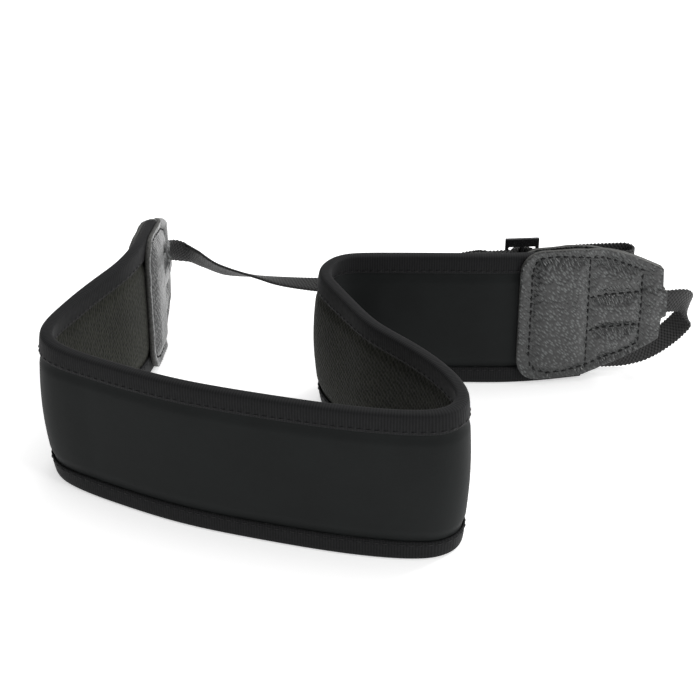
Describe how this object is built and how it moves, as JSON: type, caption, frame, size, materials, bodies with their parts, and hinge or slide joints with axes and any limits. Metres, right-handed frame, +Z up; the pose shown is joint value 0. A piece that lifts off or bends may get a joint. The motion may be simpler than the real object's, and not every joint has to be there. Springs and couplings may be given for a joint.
{
  "type": "camera neck strap",
  "caption": "Padded camera neck strap standing on edge in loose folds, with bound edges, leather end tabs and narrow webbing ties that end in sliders and lug loops.",
  "frame": {"origin": "on the surface it rests on, under the middle of the whole strap's box", "axes": "+X to the right along the strap's longest side, +Y away from the front stretch, +Z up from the surface"},
  "size_m": [0.2734, 0.2116, 0.0646],
  "materials": {
    "neoprene": "smooth black knit face over foam",
    "grip_mesh": "coarse dark waffle mesh",
    "binding": "ribbed black stretch tape",
    "leather": "pebbled dark grey leather, satin",
    "webbing": "woven black nylon",
    "slider": "moulded black, glossy"
  },
  "bodies": {
    "root": {"neck_pad": "neoprene", "grip_lining": "grip_mesh", "bottom_binding": "binding", "top_binding": "binding", "left_tab_outer": "leather", "left_tab_inner": "leather", "right_tab_outer": "leather", "right_tab_inner": "leather", "left_webbing": "webbing", "right_webbing": "webbing", "left_slider": "slider", "right_slider": "slider"}
  },
  "joints": []
}
